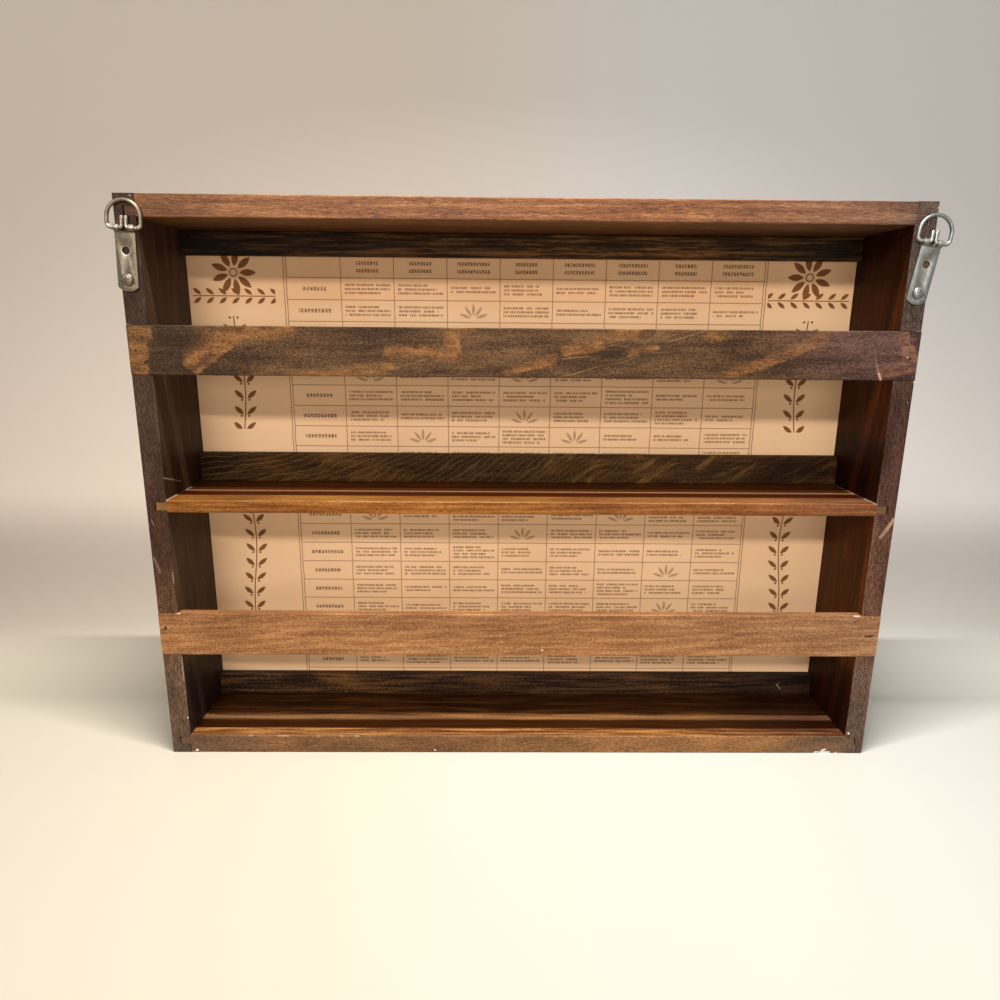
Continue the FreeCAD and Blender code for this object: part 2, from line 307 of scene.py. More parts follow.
def stainedWood(name, look):
    look = {**woodDefaults, **look}
    material, place = startMaterial(name)
    x, y, z = place.parts()
    along, across, deep = (x, z, y) if look["grain"] == "X" else (z, x, y)
    long = along.joined(across, deep)

    def grained(alongScale, acrossScale, shift, **noise):  # cells per millimetre
        move = [look["seed"] * share for share in shift]
        return long.scaled((alongScale, acrossScale, acrossScale), move).noise(**noise)

    sway = grained(1 / 85, 1 / 30, (1, 0, 0)) - 0.5
    ripple = grained(1 / 9, 1 / 4, (0, 1, 0)) - 0.5
    grains = {
        "fine": grained(1 / look["dash"], 2.6, (0, 0, 1), rough=0.6),
        "streak": grained(1 / 38, 0.5, (1, 1, 0), detail=3),
        "patch": grained(1 / 50, 1 / 14, (0, 1, 1), detail=3, twist=0.4),
        "speck": grained(1.5, 1.9, (1, 0, 0), detail=3, rough=0.8),
    }
    # Growth rings round a heart that lies off the board
    heart, drift = look["heart"], look["drift"]
    offAcross = across - heart[0] - along * drift[0] + sway * look["sway"]
    offDeep = deep - heart[1] - along * drift[1] + sway * (look["sway"] * 0.6)
    radius = distance(offAcross, offDeep) + ripple * look["ripple"]
    ring = (radius / look["ring"]).part()
    late = ring.stepped(0.3, 0.85) * ring.stepped(1.0, 0.9)
    tone = weighed(grains, dict(zip(grains, look["weights"]))) + (late - 0.4) * look["late"]
    colour = tintedAlong(x, tone.clamped().ramped(look["stain"]), look["along"])
    colour = tintedAlong(z, colour, look["rise"])
    colour = tintedAlong(x.size(), colour, look["buried"])
    # painted light and shade in bands up the inner walls
    for foot, head, tint in look["shades"]:
        colour = colour.washed(tint, z.band(foot, head, 6) * onWall(x))
    if "inside" in look:  # painted shade on faces behind the front, most at the back; a depths tint over 1 brightens there instead
        back = y.stepped(*look["fade"])
        tint = back.blend((*look["inside"], 1), (*look["depths"], 1))
        colour = colour.tinted(nearFront(y).blend(tint, (1, 1, 1, 1)))
    dust = place.noise(scale=dustLook["scale"], rough=dustLook["rough"])
    dust = dust.stepped(dustLook["from"], dustLook["to"])
    colour = colour.tinted(dust.blend((*dustLook["thin"], 1), (*dustLook["thick"], 1)))
    rough = grains["fine"] * 0.16 + look["rough"]
    if "finish" in look:
        colour, rough = look["finish"](look, (x, y, z), grains, colour, rough)
    return finishMaterial(material, place, {
        "Base Color": paintScarsAndGlints(look["scars"], (x, y, z), grains["speck"], colour),
        "Roughness": rough,
        "Specular IOR Level": look["shine"],
    }, grains["fine"] * 0.6 + late * 0.2 + grains["speck"] * 0.4)


topBoardLook = {
    "seed": 3, "heart": (250, 140), "drift": (0.010, 0), "sway": 6, "ring": 2.6,
    "weights": (1.7, 1, 0.7, 1.1), "rough": 0.42, "dash": 4.5,
    "buried": [(wallFace - 0.2, wallFace + 0.4, (0.6, 0.55, 0.53))],
    "inside": (0.66, 0.70, 0.56), "depths": (0.5, 0.5, 0.45), "shine": 0.2,
    # darker ends: painted shade; bluer right half: painted cooler light
    "along": [(-110, -215, (0.77, 0.79, 0.74)), (60, 215, (0.82, 0.97, 1.5)),
              (200, 223, (0.76, 0.88, 1.05))],
    "stain": ((67, 36, 16), (120, 73, 40), (162, 110, 67)),
}
lowerRailLook = {
    "seed": 21, "heart": (15, -210), "drift": (0.02, 0.03), "sway": 7, "ring": 2.4, "late": 0.14,
    "weights": (1.7, 0.8, 0.7, 1.2), "rough": 0.42, "shine": 0.22,
    # the bluer right half is painted cooler light
    "dash": 1.6, "along": [(60, 225, (0.98, 1.06, 1.3))],
    "rise": [(92, 80, (1.14, 1.17, 1.14))],
    "stain": ((80, 46, 22), (132, 85, 47), (178, 127, 79)),
    "scars": {"front": [
        (217.6, 95.7, 221.3, 98.6, 0.35, (92, 56, 36)),
        # pale strokes on the top arris and a dot on the left brad: painted glints
        (217.4, 100.6, 221, 100.5, 0.2, (222, 198, 168)),
        (-223.8, 100.6, -220.9, 100.5, 0.2, (206, 176, 142)),
        (-230.3, 90.7, -229.8, 90.8, 0.35, (240, 222, 194)),
        (-233.4, 89.3, -230.9, 90.1, 0.5, (84, 56, 38)),
        (226.4, 86.1, 231.6, 86.9, 0.6, (62, 36, 22)),
        (13.7, 75.9, 14.2, 75.9, 0.35, (240, 214, 180)),
    ]},
}
wear("top_board", stainedWood("topBoardWood", topBoardLook))
wear("lower_rail", stainedWood("lowerRailWood", lowerRailLook))


def frontedBoard(look, place, grains, colour, rough):  # the front edge is duller than the top
    x, y, z = place
    middle = look["front"]
    dull = weighed(grains, {"fine": 2.2, "speck": 2.6, "patch": 1.4}).ramped(
        ([part * 0.62 for part in middle], middle, [min(part * 1.36, 255) for part in middle]))
    dull = tintedAlong(x, dull, look["frontAlong"])
    # bands: the lower rail's painted shadow and a painted strip of light; top: painted shade at
    # the right end
    colour = banded(y + (grains["streak"] - 0.5) * 1.2, colour, look["bands"])
    colour = tintedAlong(x, colour, look["top"])
    return nearFront(y).blend(colour, dull), rough


bottomBoardLook = {
    "finish": frontedBoard,
    "seed": 9, "heart": (-160, 60), "drift": (0.006, 0), "ring": 3.4, "late": 0.18,
    "weights": (1.7, 2.8, 0.8, 1), "rough": 0.36, "dash": 2.5,
    "stain": ((66, 34, 14), (126, 78, 38), (182, 122, 66)),
    "front": (114, 78, 49), "inside": (0.83, 0.86, 0.86), "depths": (0.22, 0.18, 0.13),
    # top: painted shade at the right end; bands: the lower rail's painted shadow, then a painted
    # strip of light
    "shine": 0.12, "top": [(120, 190, (0.55, 0.5, 0.66))],
    "bands": [(-23, -13.3, 0.6, 0.9, (77, 36, 2)), (-12.8, -7.2, 1.4, 0.6, (113, 82, 54))],
    "frontAlong": [(-160, -185, (0.62, 0.7, 0.86)), (-165, -130, (0.8, 0.82, 0.79)),
                   (-100, -70, (0.85, 0.84, 0.88)), (-35, -5, (1.45, 1.46, 1.3)),
                   (35, 65, (1.28, 1.26, 1.3)), (160, 210, (0.5, 0.6, 0.82))],
    "scars": {"front": [
        (202.2, 0.5, 204, 1.1, 0.4, (236, 232, 222)),
        (205.4, 0.5, 212.4, 0.7, 0.6, (236, 232, 222)),
        (207.6, 2.4, 209.6, 2.9, 0.45, (232, 226, 214)),
        (207.4, 1.6, 208, 2.6, 0.4, (232, 226, 214)),
        (216.6, 0.5, 217.4, 0.6, 0.35, (228, 222, 210)),
        (-219, 1.4, -218.4, 1.8, 0.5, (240, 238, 230)),
        (-57.7, 1.9, -57.2, 1.9, 0.4, (230, 214, 190)),
        # pale dashes just under the top arris: painted highlights
        *((left, 12.3, right, 12.3, 0.16, (186, 148, 108)) for left, right in (
            (-183, -180.4), (-163.5, -156.4), (-136.9, -135.6), (-121.3, -119.9),
            (-110.9, -108.6))),
    ]},
}
wear("bottom_board", stainedWood("bottomBoardWood", bottomBoardLook))


def tonguedShelf(look, place, grains, colour, rough):  # unstained tongues; painted light and shade on the top, and a painted highlight along each wall joint
    x, y, z = place
    out = x.size()
    stain = (grains["speck"] * 1.2 + grains["fine"] * 0.6 - 0.4).clamped()
    bare = stain.blend(fromScreen(*(part * 0.55 for part in look["tongue"])),
                       fromScreen(*look["tongue"]))
    # the right tongue's tint is painted cooler light
    bare = tintedAlong(x, bare, [(-1, 1, look["rightTongue"])])
    # painted shadow of the upper rail, a painted line of light, and painted shade behind it
    banding = banded(y + (grains["streak"] - 0.5) * 0.8, colour, look["bands"])
    colour = z.stepped(shelfTop - 0.4, shelfTop - 0.2).blend(colour, banding)
    # a painted highlight along the top's front arris
    edge = (y.stepped(frontPlane + 1.3, frontPlane + 0.5)
            * z.stepped(shelfTop - 0.55, shelfTop - 0.3) * out.stepped(222, 170))
    colour = colour.washed(look["arris"], edge)
    colour = (out.stepped(wallFace - 0.4, wallFace + 0.9) * 0.85).blend(colour, bare)
    # a pale line along each wall joint: a painted highlight, fainter towards the back
    seam = out.near(wallFace - 0.35, 0.1, 0.45) * z.stepped(shelfTop - 0.3, shelfTop - 0.1)
    seam = seam * (1 - y.stepped(-30, 20) * 0.7)
    return colour.painted((206, 184, 158), seam * 0.75), rough


shelfLook = {
    "finish": tonguedShelf,
    "seed": 14, "heart": (60, 120), "drift": (0.02, 0), "ring": 2.2,
    "weights": (1.4, 1.1, 0.9, 0.9), "rough": 0.34, "dash": 2.5,
    "stain": ((75, 36, 8), (129, 75, 26), (172, 115, 49)),
    # rightTongue: painted cooler light; arris: a painted highlight; bands: painted shadow, light
    # and shade
    "tongue": (137, 101, 58), "rightTongue": (0.73, 0.74, 0.95),
    "inside": (0.78, 0.86, 0.94), "depths": (0.36, 0.24, 0.13), "fade": (-9, -3),
    "shine": 0.12, "arris": (1.12, 1.45, 2.6),
    "bands": [(-18.2, -8.2, 0.5, 0.9, (95, 33, 1)), (-6.8, -3.4, 0.8, 0.8, (190, 138, 98)),
              (-3, 9, 1, 0.9, (50, 21, 2))],
    # the bluer tints at the right are painted cooler light
    "along": [(-150, -185, (0.82, 0.8, 0.82)), (-50, -140, (1.06, 1.08, 1.06)),
              (-50, -10, (0.86, 0.83, 0.85)), (20, 60, (0.98, 0.99, 1.2)),
              (90, 130, (1, 1, 1.2)), (150, 200, (0.78, 0.78, 1.1))],
}
wear("middle_shelf", stainedWood("shelfWood", shelfLook))


def goldenRail(look, place, grains, colour, rough):  # golden patches in grey-brown stain
    x, y, z = place
    streak, speck = grains["streak"], grains["speck"]
    board = x.joined(z, y)
    lumpy = board.scaled((1 / 15, 1 / 7, 1 / 7)).noise(detail=4, rough=0.65) - 0.5
    mottle = board.scaled((1 / 9, 1 / 3.2, 1 / 3.2)).noise(detail=3, rough=0.6) - 0.5
    wavyX = x + lumpy * 15
    wavyZ = z + lumpy * 7 + (grains["patch"] - 0.5) * 5 + (speck - 0.5) * 3
    lumpyZ = z + lumpy * 5
    gold = 0.0
    for startX, startZ, endX, endZ, depth in look["gold"]:
        runX, runZ = endX - startX, endZ - startZ
        reach = hypot(runX, runZ)
        offX, offZ = wavyX - startX, wavyZ - startZ
        along = (offX * runX + offZ * runZ) / reach
        off = (offZ * runX - offX * runZ) * (copysign(1, depth) / reach)
        fade = off.stepped(-0.6, 1.4) * off.stepped(abs(depth), abs(depth) * 0.4)
        gold = (fade * along.band(0, reach, 2)).most(gold)
    gold = (gold * ((speck - 0.5) * 1.4 + mottle * 2.8 + 0.9)).clamped()
    tone = weighed(grains, {"fine": 1.7, "speck": 1.5}) + mottle * 1.2
    colour = gold.blend(colour, tone.ramped(look["honey"]))
    for middleX, middleZ, halfLong, halfTall, degrees in look["ovals"]:
        long, tall = turned(wavyX - middleX, lumpyZ - middleZ, degrees)
        out = distance(long / halfLong, tall / halfTall)
        rim = out.near(1.08, 0.02, 0.16) * (streak * 2.2 - 0.7).clamped()
        colour = colour.painted((138, 102, 62), rim * 0.3)
        colour = colour.washed((0.7, 0.66, 0.66), out.stepped(1.02, 0.7))
    runs = [pair for points in look["streaks"] for pair in zip(points, points[1:])]
    for start, end in runs:
        thin = nearSegment(wavyX, lumpyZ, *start, *end)
        colour = colour.painted((46, 30, 19), thin.stepped(2.0, 0.9) * 0.28)
        glint = thin.stepped(0.7, 0.1) * (streak * 2.6 - 0.8).clamped()
        colour = colour.painted((146, 110, 72), glint * 0.55)
    return tintedAlong(x, colour, look["over"]), rough


upperRailLook = {
    "finish": goldenRail,
    "seed": 27, "heart": (70, -170), "drift": (0.14, 0),
    "sway": 26, "ripple": 1.2, "ring": 7, "late": 0.06,
    "weights": (2.3, 0.6, 1.8, 1.6), "rough": 0.45, "shine": 0.1,
    "dash": 1.4,
    "along": [(-190, -202, (0.6, 0.62, 0.64)), (-218, -228, (1.5, 1.5, 1.4))],
    # over: the bluer right end is painted cooler light
    "over": [(120, 225, (0.9, 0.94, 1.8))],
    "stain": ((36, 23, 12), (73, 49, 29), (112, 81, 50)),
    "honey": ((68, 40, 20), (111, 72, 38), (150, 105, 62)),
    # Where the stain left the wood golden. Each patch has one crisp edge, run between two
    # points, and fades out over a depth to the left of that run, in millimetres
    "gold": [
        (-219.5, 283, -226, 250, -16), (-196, 252, -162, 277.5, 19),
        (-172, 273.5, -137, 275.5, 9), (-142, 252.4, -112, 253.6, 4),
        (-112, 252.8, -76, 257.5, 7), (-84, 264, -40, 264.6, 8.5),
        (-40, 262, -36.5, 284, 13), (-12, 252.6, 18, 261.5, 7),
        (22, 264, 46, 268.5, 10), (30, 268, 72, 280, 9),
        (63, 266, 80, 269.5, 5), (106, 275.5, 118, 273.5, 8),
        (122, 253.4, 150, 260.2, 8), (146, 258.6, 182, 276.5, 10),
        (212, 252.6, 236, 257.5, 10.5), (235.6, 264, 228, 283, 9),
    ],
    # Thin pale lines, and dark ovals with a pale rim: middle, half sizes and turn
    "streaks": [
        [(20.4, 253.6), (30.1, 255.6), (42.1, 259.5), (58.1, 262.3), (69.1, 267), (88.7, 269)],
        [(20.5, 263.4), (40, 266.6)], [(-77, 258.4), (-56, 264.2)],
        [(80, 272.7), (87.2, 275.4), (106.5, 281)], [(47.3, 273.2), (63.9, 277)],
    ],
    "ovals": [(52, 267.8, 10.6, 4.2, 3), (72, 279.6, 7.5, 3.6, 28)],
    "scars": {"front": [
        (208.2, 271, 210.6, 262, 0.2, (112, 86, 68)),
        (210.8, 262, 212.4, 257, 0.28, (134, 104, 82)),
        (212.6, 257, 214.2, 253.2, 0.6, (172, 138, 110)),
        (-230.6, 267.2, -230.2, 267.4, 0.3, (160, 110, 64)),
        (228.6, 266.6, 228.9, 266.6, 0.3, (220, 190, 160)),
    ]},
}
wear("upper_rail", stainedWood("upperRailWood", upperRailLook))


def linedStrip(look, place, grains, colour, rough):  # thin pale lines, rising to the right
    x, y, z = place
    board = x.joined(z, y)
    bend = board.scaled((1 / 60, 1 / 26, 1 / 26)).noise() - 0.5
    jitter = board.scaled((1 / 12, 1 / 5, 1 / 5)).noise() - 0.5
    slope = x * 0.25 + (x + 160) * (x + 160) * 0.0014
    step = (z - slope + bend * 13 + jitter * 3.0) / look["linePitch"]
    luck = (step.whole() + 0.5).joined(3.0).dice()
    strength = (grains["patch"] * 1.5 + luck * 0.9 - 0.5).clamped()
    strength = strength * (grains["speck"] * 3.4 - 1.0).clamped()
    strength = strength * (x.stepped(100, 20) * 0.8 + 0.2)
    colour = colour.painted(look["lines"], step.offWhole().stepped(0.08, 0.01) * strength)
    along, over = turned(x, z, 33)
    slant = (along / 30).joined(over / 5.5).noise(detail=3, rough=0.65, twist=0.5)
    tan = slant.stepped(0.52, 0.68) * (x.stepped(-10, 60) * 0.75 + 0.25)
    tan = tan * (1 - x.stepped(120, 190) * 0.7) * (grains["speck"] * 1.6).clamped()
    return colour.painted(look["slants"], tan), rough


stripLooks = {
    "top_back_strip": {
        "seed": 31, "heart": (300, -60), "drift": (0.004, 0),
        "sway": 5, "ripple": 0.4, "ring": 2.9, "late": 0.16,
        "weights": (1.4, 2.2, 0.9, 0.6), "rough": 0.5, "shine": 0.1,
        "dash": 6, "inside": (1, 1, 1), "depths": (2.1, 2, 1.5),
        # darker ends: painted shade in the corners
        "along": [(-70, -215, (0.38, 0.42, 0.46)), (-30, 30, (1.6, 1.6, 1.35)),
                  (70, 215, (0.42, 0.46, 0.56))],
        "stain": ((13, 6, 2), (30, 16, 6), (74, 48, 24)),
    },
    "middle_back_strip": {
        "finish": linedStrip,
        "seed": 37, "heart": (-60, -6), "drift": (0.27, 0),
        "sway": 30, "ripple": 1.2, "ring": 4.4, "late": 0.10,
        "weights": (1.3, 0.6, 1.1, 1.8), "rough": 0.46, "shine": 0.06,
        "dash": 1.2,
        # darker ends: painted shade in the corners; the bluer tint right of the middle: painted
        # cooler light
        "along": [(-172, -198, (0.5, 0.52, 0.62)), (-120, -80, (0.85, 0.88, 0.9)),
                  (30, 60, (1.25, 1.25, 1.6)), (150, 182, (0.5, 0.45, 0.58))],
        "stain": ((22, 10, 2), (50, 29, 8), (106, 68, 27)),
        "linePitch": 4.1, "lines": (126, 94, 54), "slants": (116, 82, 40),
    },
    "bottom_back_strip": {
        "seed": 43, "heart": (-40, -80), "drift": (0.006, 0),
        "ripple": 0.8, "ring": 3.6,
        "weights": (2.4, 2.4, 1.5, 2.4), "rough": 0.44, "shine": 0.12,
        "dash": 2.5,
        # the darker right end: painted shade in the corner; the bluer right half: painted cooler
        # light
        "along": [(-60, -100, (1.4, 1.4, 1.2)), (-165, -190, (1.05, 1.1, 1.5)),
                  (60, 225, (0.9, 0.96, 1.3)), (135, 178, (0.58, 0.56, 0.56))],
        "stain": ((17, 8, 3), (41, 23, 9), (92, 59, 30)),
        "scars": {"through": [(196.2, 21.6, 199.4, 17.4, 0.24, (150, 136, 130)),
                              (197.6, 20.8, 198.6, 23, 0.2, (110, 92, 84))]},
    },
}


def edgedSide(look, place, grains, colour, rough):  # greyer sawn edge, rubbed at its arris
    x, y, z = place
    edge = weighed(grains, {"fine": 1.7, "speck": 2.4, "patch": 0.9}).ramped(look["edge"])
    edge = tintedAlong(z, edge, look["worn"])
    front = y.stepped(frontPlane + 0.8, frontPlane + 0.45)
    colour = colour.washed(look["outer"], x.size().stepped(outerFace - 0.3, outerFace - 0.1))
    rubbed = (x.near(look["inner"], 0.15, 0.9) * y.stepped(frontPlane + 1.2, frontPlane + 0.3)
              * (grains["speck"] * 0.6 + grains["patch"] * 0.5).stepped(0.54, 0.66))
    colour = front.blend(colour, edge).painted((134, 112, 92), rubbed * 0.55)
    return colour, rough + front * 0.08


sideLooks = {
    "left_side": {
        "finish": edgedSide, "inner": leftHigh.x,
        "grain": "Z", "seed": 51, "heart": (-180, 90), "drift": (0.012, 0.02),
        "ripple": 0.6, "ring": 3,
        "weights": (1.3, 1.1, 0.7, 0.9), "rough": 0.42, "shine": 0.16,
        "dash": 3.5,
        "stain": ((28, 16, 9), (48, 31, 18), (82, 56, 34)),
        "edge": ((23, 12, 6), (51, 32, 19), (88, 61, 41)),
        "worn": [(195, 165, (1.15, 0.95, 0.85)), (140, 112, (1.65, 1.95, 2.05)),
                 (80, 55, (1.5, 1.9, 2.35)), (25, 5, (0.7, 0.76, 0.87))],
        "shades": [(250, 345, (1.5, 1.45, 1.8)), (60, 172, (1.6, 1.55, 1.4)),
                   (0, 60, (0.6, 0.68, 1.2))],
        "outer": (1.45, 1.45, 1.5),
        "scars": {
            "front": [
                (-232.6, 163.5, -231.4, 160, 0.3, (106, 86, 70)),
                (-233.6, 138.4, -230.8, 128.8, 0.7, (98, 78, 68)),
                (-222.9, 129, -222.9, 121.5, 0.2, (136, 116, 98)),
                (-222.8, 70, -222.8, 53, 0.18, (150, 132, 112)),
                (-222.9, 26.2, -222.8, 25.6, 0.34, (196, 186, 172)),
                (-224.9, 352.7, -224.5, 352.5, 0.3, (150, 128, 108)),
            ],
            "wall": [(-32.6, 189.9, -9.4, 183, 0.4, (124, 112, 100))],
        },
    },
    "right_side": {
        "finish": edgedSide, "inner": rightLow.x,
        "grain": "Z", "seed": 58, "heart": (150, 110), "drift": (0.02, 0.01),
        "ripple": 0.6, "ring": 3.2, "late": 0.06,
        "weights": (1, 1, 1.2, 0.8), "rough": 0.44, "shine": 0.08,
        "dash": 3.5,
        # the stain is as dark as the shaded inner face, so it holds painted shade; the outer tint
        # lifts the outer face
        "stain": ((26, 9, 1), (44, 18, 3), (72, 33, 9)),
        "edge": ((25, 14, 10), (57, 35, 27), (97, 66, 55)),
        "worn": [(185, 150, (1.9, 1.95, 1.75)), (230, 300, (1.45, 2.2, 2.4)),
                 (85, 50, (1.25, 1.65, 1.8))],
        "shades": [(214, 309, (1.45, 1.2, 0.5)), (309, 345, (0.85, 0.75, 0.55)),
                   (172, 214, (0.45, 0.27, 0.1)), (60, 172, (2.3, 2.3, 1.3)),
                   (0, 60, (0.75, 0.62, 0.8))],
        "outer": (1.9, 2.3, 3.2),
        "scars": {"front": [
            (227.4, 154.4, 230.4, 159, 1, (138, 110, 84)),
            (230.8, 159.6, 234.2, 166.2, 0.9, (156, 128, 98)),
            (232.4, 240, 232.6, 239.6, 0.28, (140, 120, 108)),
            (234.6, 252.3, 234.5, 251.8, 0.3, (214, 206, 196)),
            (224, 15.2, 224.3, 15, 0.5, (240, 236, 228)),
            (234.3, 350.8, 234.9, 350.2, 0.3, (200, 190, 176)),
        ]},
    },
}
for node, look in {**stripLooks, **sideLooks}.items():
    wear(node, stainedWood(node + "_wood", look))
print("wood stained")

hardboardLook = {
    "fibre": 0.9, "rough": 0.7, "mesh": 1.5, "rim": 9.0, "handled": (0.62, 0.58, 0.55),
    "flakes": (150, 118, 88),
    "colours": ((64, 42, 27), (96, 67, 45), (132, 98, 69)), "places": (0.2, 0.5, 0.8),
}


def hardboard(look):  # meshed by the press screen, darker at its rim
    material, place = startMaterial("hardboard")
    x, y, z = place.parts()
    fibre = place.noise(scale=look["fibre"], detail=4, rough=0.7)
    cloud = place.noise(scale=0.012, detail=3)
    strand = place.scaled((0.9, 0.9, 0.14)).noise(detail=3, rough=0.7, twist=1.2)
    turn = tau / look["mesh"]
    mesh = (x * turn).maths("SINE") * (z * turn).maths("SINE") * 0.5 + 0.5
    tone = (fibre - 0.5) * 1.3 + (cloud - 0.5) * 0.45 + (strand - 0.5) * 0.8 + mesh * 0.2 + 0.4
    middle, half = (chartHigh.z + chartLow.z) / 2, (chartHigh.z - chartLow.z) / 2
    rim = (x.size() - wallFace).most((z - middle).size() - half) + fibre * 6
    colour = tone.ramped(look["colours"], look["places"])
    colour = colour.washed(look["handled"], rim.stepped(0, look["rim"] + 6))
    flake = place.noise(scale=0.35, detail=3, rough=0.7).stepped(0.68, 0.74)
    return finishMaterial(material, place, {
        "Base Color": colour.painted(look["flakes"], flake * 0.5),
        "Roughness": fibre * 0.2 + look["rough"]}, fibre * 0.5 + mesh * 0.6)


wear("back_panel", hardboard(hardboardLook))

chartLook = {  # millimetres
    "paper": fromScreen(238, 194, 149), "foxed": fromScreen(224, 177, 132),
    "ink": (99, 49, 19), "darkInk": (70, 34, 8), "leafInk": (114, 63, 22),
    # A table of rows and columns with a double border, and a column of names at its left
    "left": -157.0, "first": -121.0, "right": 161.4, "border": 1.7, "line": 0.2,
    "column": 35.3, "row": 14.1, "head": 313.2,
    # In the cells: lines of short strokes, or a fan of leaves
    "textPitch": 2.55, "indent": 0.07, "pictures": 0.90,
    "fan": {"count": 10, "start": 6.0, "length": 8.4, "width": 2.0}, "fanDrop": 4.6,
    # Words in blocks: how wide, and how tall the line is
    "nameBlock": 2.3, "nameTall": (1.1, 1.4), "nameHalf": (7.0, 5.5),
    "headBlock": 1.95, "headTall": (1.0, 1.3), "headLines": (4.6, 9.4), "headHalf": (0.18, 0.14),
    # Each margin has a swaying stem with pairs of leaves, then a rosette over a leafy bar
    "stem": (0.28, 0.5), "stemSway": 2.2, "swayPitch": 17.0, "leafPitch": 11.0,
    "sprigRuns": ((60.0, 158.0), (212.0, 288.0)), "marginGap": 3.5,
    "rosette": {"count": 9, "start": 9.5, "length": 11.0, "width": 4.4}, "rosetteHigh": 316.0,
    "barHigh": 301.0, "barPitch": 8.5, "barReach": 28.0, "cornerFoot": 292.0,
}


def leafShape(u, v, length, width):  # pointed oval along u, centred
    reach = u * (2 / length)
    return ((1 - reach * reach) * (width / 2) - v.size()).stepped(-0.1, 0.15)


def petalsRound(x, z, count, start, length, width):
    far = distance(x, z)
    turn = tau / count
    off = (z.maths("ARCTAN2", x) / turn).offMiddle().size() * far * turn
    return leafShape(far - start, off, length, width)


def blocks(x, width):  # short blocks with gaps, like set words
    return (x / width).offMiddle().size().stepped(0.42, 0.30)


def strokes(spot, low, high):  # uneven upright strokes
    return spot.noise(detail=1).stepped(low, high)


def tableRules(look, x, z, waver):
    left, right, wide = look["left"], look["right"], look["line"]
    column = (x + waver * 0.5 - look["first"]) / look["column"]
    row = (look["head"] - z - waver * 0.35) / look["row"]
    upright = (column.offWhole() * look["column"]).stepped(wide + 0.15, wide)
    level = (row.offWhole() * look["row"]).stepped(wide + 0.15, wide)
    rules = (upright * x.between(look["first"] - 2, right - 2)).most(
        level * x.between(left, right) * z.below(look["head"] + 2))
    for place in (left, left - look["border"], right, right + look["border"]):
        rules = rules.most((x + waver * 1.1).near(place, wide + 0.03, wide + 0.2))
    return rules, column, row


def cellMarks(look, x, column, row):  # rows of strokes, or a fan of leaves
    luck = column.whole().joined(row.whole()).dice()
    lines = (luck * 2.2 + 2.3).whole()
    line = row.offMiddle() * (look["row"] / look["textPitch"]) + lines / 2
    index = line.whole()
    inLine = line.offMiddle().size().stepped(0.36, 0.20)
    inside = index.above(-0.5) * (lines - index).above(0.5)
    fill = (index + luck * 7).joined(column.whole(), row.whole()).dice() * 0.55 + 0.62
    share = (column.part() - look["indent"]) / (1 - 2 * look["indent"])
    long = share.above(0.0) * (fill.least(1.0) - share).above(0.0)
    letters = strokes((x * 1.55).joined(row.whole() * 5 + index, 3.0), 0.40, 0.52)
    gaps = (x * 0.32).joined(row.whole() * 3 + index, 9.0).noise(detail=0).stepped(0.64, 0.60)
    inX = column.offMiddle() * look["column"]
    inZ = row.offMiddle() * -look["row"] + look["fanDrop"]
    leaves = petalsRound(inX, inZ, **look["fan"]) * inZ.above(0.3)
    picture = luck.above(look["pictures"])
    return inLine * inside * long * letters * gaps * (1 - picture) + leaves * picture * 0.7


def rowNames(look, x, z, row):  # some names are longer than others
    luck = (row.whole() + 0.5).joined(7.0).dice()
    middle = (look["left"] + look["first"]) / 2
    low, high = look["nameTall"]
    tall = (row.offMiddle() * look["row"]).size().stepped(high, low)
    least, spread = look["nameHalf"]
    long = ((x - middle).size() - luck * spread).stepped(least + 0.1, least)
    letters = strokes((x * 1.9).joined(row.whole() * 3, z * 1.1), 0.38, 0.5)
    return tall * long * letters * blocks(x + luck * 9, look["nameBlock"]) * z.below(look["head"])


def columnHeads(look, x, z, column):  # two lines of blocks over each column
    luck = column.whole().joined(3.0).dice()
    height = z - look["head"]
    first, second = [height.near(line, *look["headTall"]) for line in look["headLines"]]
    least, spread = look["headHalf"]
    long = (luck * spread + least - column.offMiddle().size()).stepped(0.0, 0.01)
    letters = strokes((x * 1.7).joined(z * 1.2, 4.0), 0.36, 0.5)
    return (first.most(second) * long * letters * blocks(x, look["headBlock"])
            * x.between(look["first"], look["right"]))


def marginSprigs(look, x, z):  # the same in both margins
    off = x.size() - (chartHigh.x + look["right"]) / 2
    offStem = (off + (z / look["swayPitch"]).maths("SINE") * look["stemSway"]).size()
    up = (z / look["leafPitch"]).offMiddle() * look["leafPitch"]
    sprig = leafShape(*turned(offStem - 4.4, up + 0.6, 42), 8.6, 3.2)
    sprig = sprig.most(offStem.stepped(*reversed(look["stem"])))
    berry = (offStem - 2.6) * (offStem - 2.6) + (up + 4.4) * (up + 4.4)
    sprig = sprig.most(berry.stepped(0.8, 0.45))
    first, second = [z.between(*run) for run in look["sprigRuns"]]
    offZ = z - look["rosetteHigh"]
    rosette = petalsRound(off, offZ, **look["rosette"]).most(
        distance(off, offZ).near(2.4, 0.3, 0.5))
    offBar = (z - look["barHigh"]).size()
    beat = (x.size() / look["barPitch"]).offMiddle() * look["barPitch"]
    bar = leafShape(*turned(beat, offBar - 2.9, 38), 6.6, 2.6).most(offBar.stepped(0.42, 0.22))
    corner = rosette.most(bar * off.size().below(look["barReach"])) * z.above(look["cornerFoot"])
    inMargin = x.size().above(look["right"] + look["marginGap"])
    return (sprig * first.most(second)).most(corner) * inMargin


